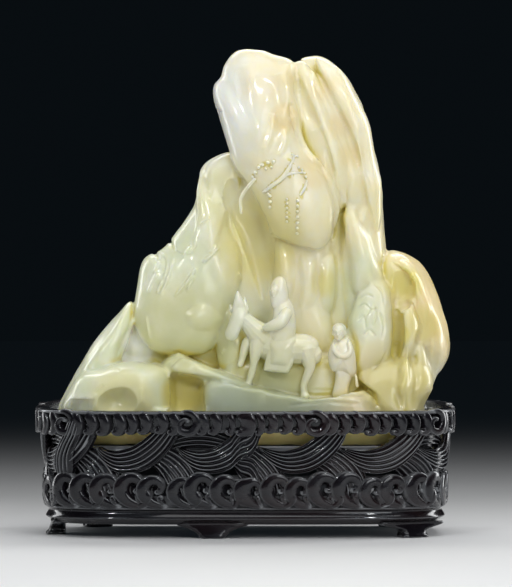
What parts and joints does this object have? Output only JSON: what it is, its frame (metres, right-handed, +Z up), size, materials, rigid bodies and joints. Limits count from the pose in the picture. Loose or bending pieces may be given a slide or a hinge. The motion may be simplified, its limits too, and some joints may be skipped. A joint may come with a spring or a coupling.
{
  "type": "jade boulder carving on a carved wood stand",
  "caption": "Pale jade boulder carved as a mountain with a rider, an attendant and a pine, resting loose in a dark openwork wave-carved wood stand.",
  "frame": {"origin": "on the floor under the middle of the stand", "axes": "+X to the right of the carved front, +Y towards the back, +Z up"},
  "size_m": [0.1814, 0.0974, 0.2086],
  "materials": {
    "jade": "polished to a waxy gloss, slightly translucent",
    "dark_wood": "dark polished hardwood, satin gloss"
  },
  "bodies": {
    "root": {"jade_boulder": "jade", "wood_stand": "dark_wood"}
  },
  "joints": []
}
